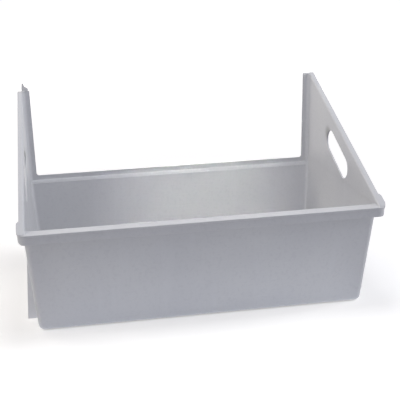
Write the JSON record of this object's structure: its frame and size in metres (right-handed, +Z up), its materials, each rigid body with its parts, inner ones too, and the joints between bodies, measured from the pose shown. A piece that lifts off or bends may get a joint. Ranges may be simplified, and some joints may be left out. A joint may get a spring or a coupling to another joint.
{
  "type": "fridge drawer",
  "caption": "One-piece moulded plastic fridge drawer: a tapered tub with a skirted hand rim, tall sloped side wings with slanted hand slots, and an open front frame.",
  "frame": {"origin": "centre of the drawer's plan, on the plane its floor rests on", "axes": "+Z up, +X across the drawer's width, +Y from the low rear hand rim towards the open front frame"},
  "size_m": [0.4512, 0.282, 0.2743],
  "materials": {
    "plastic": "satin moulded, pale grey-white, slightly cloudy"
  },
  "bodies": {
    "root": {"drawer": "plastic"}
  },
  "joints": []
}
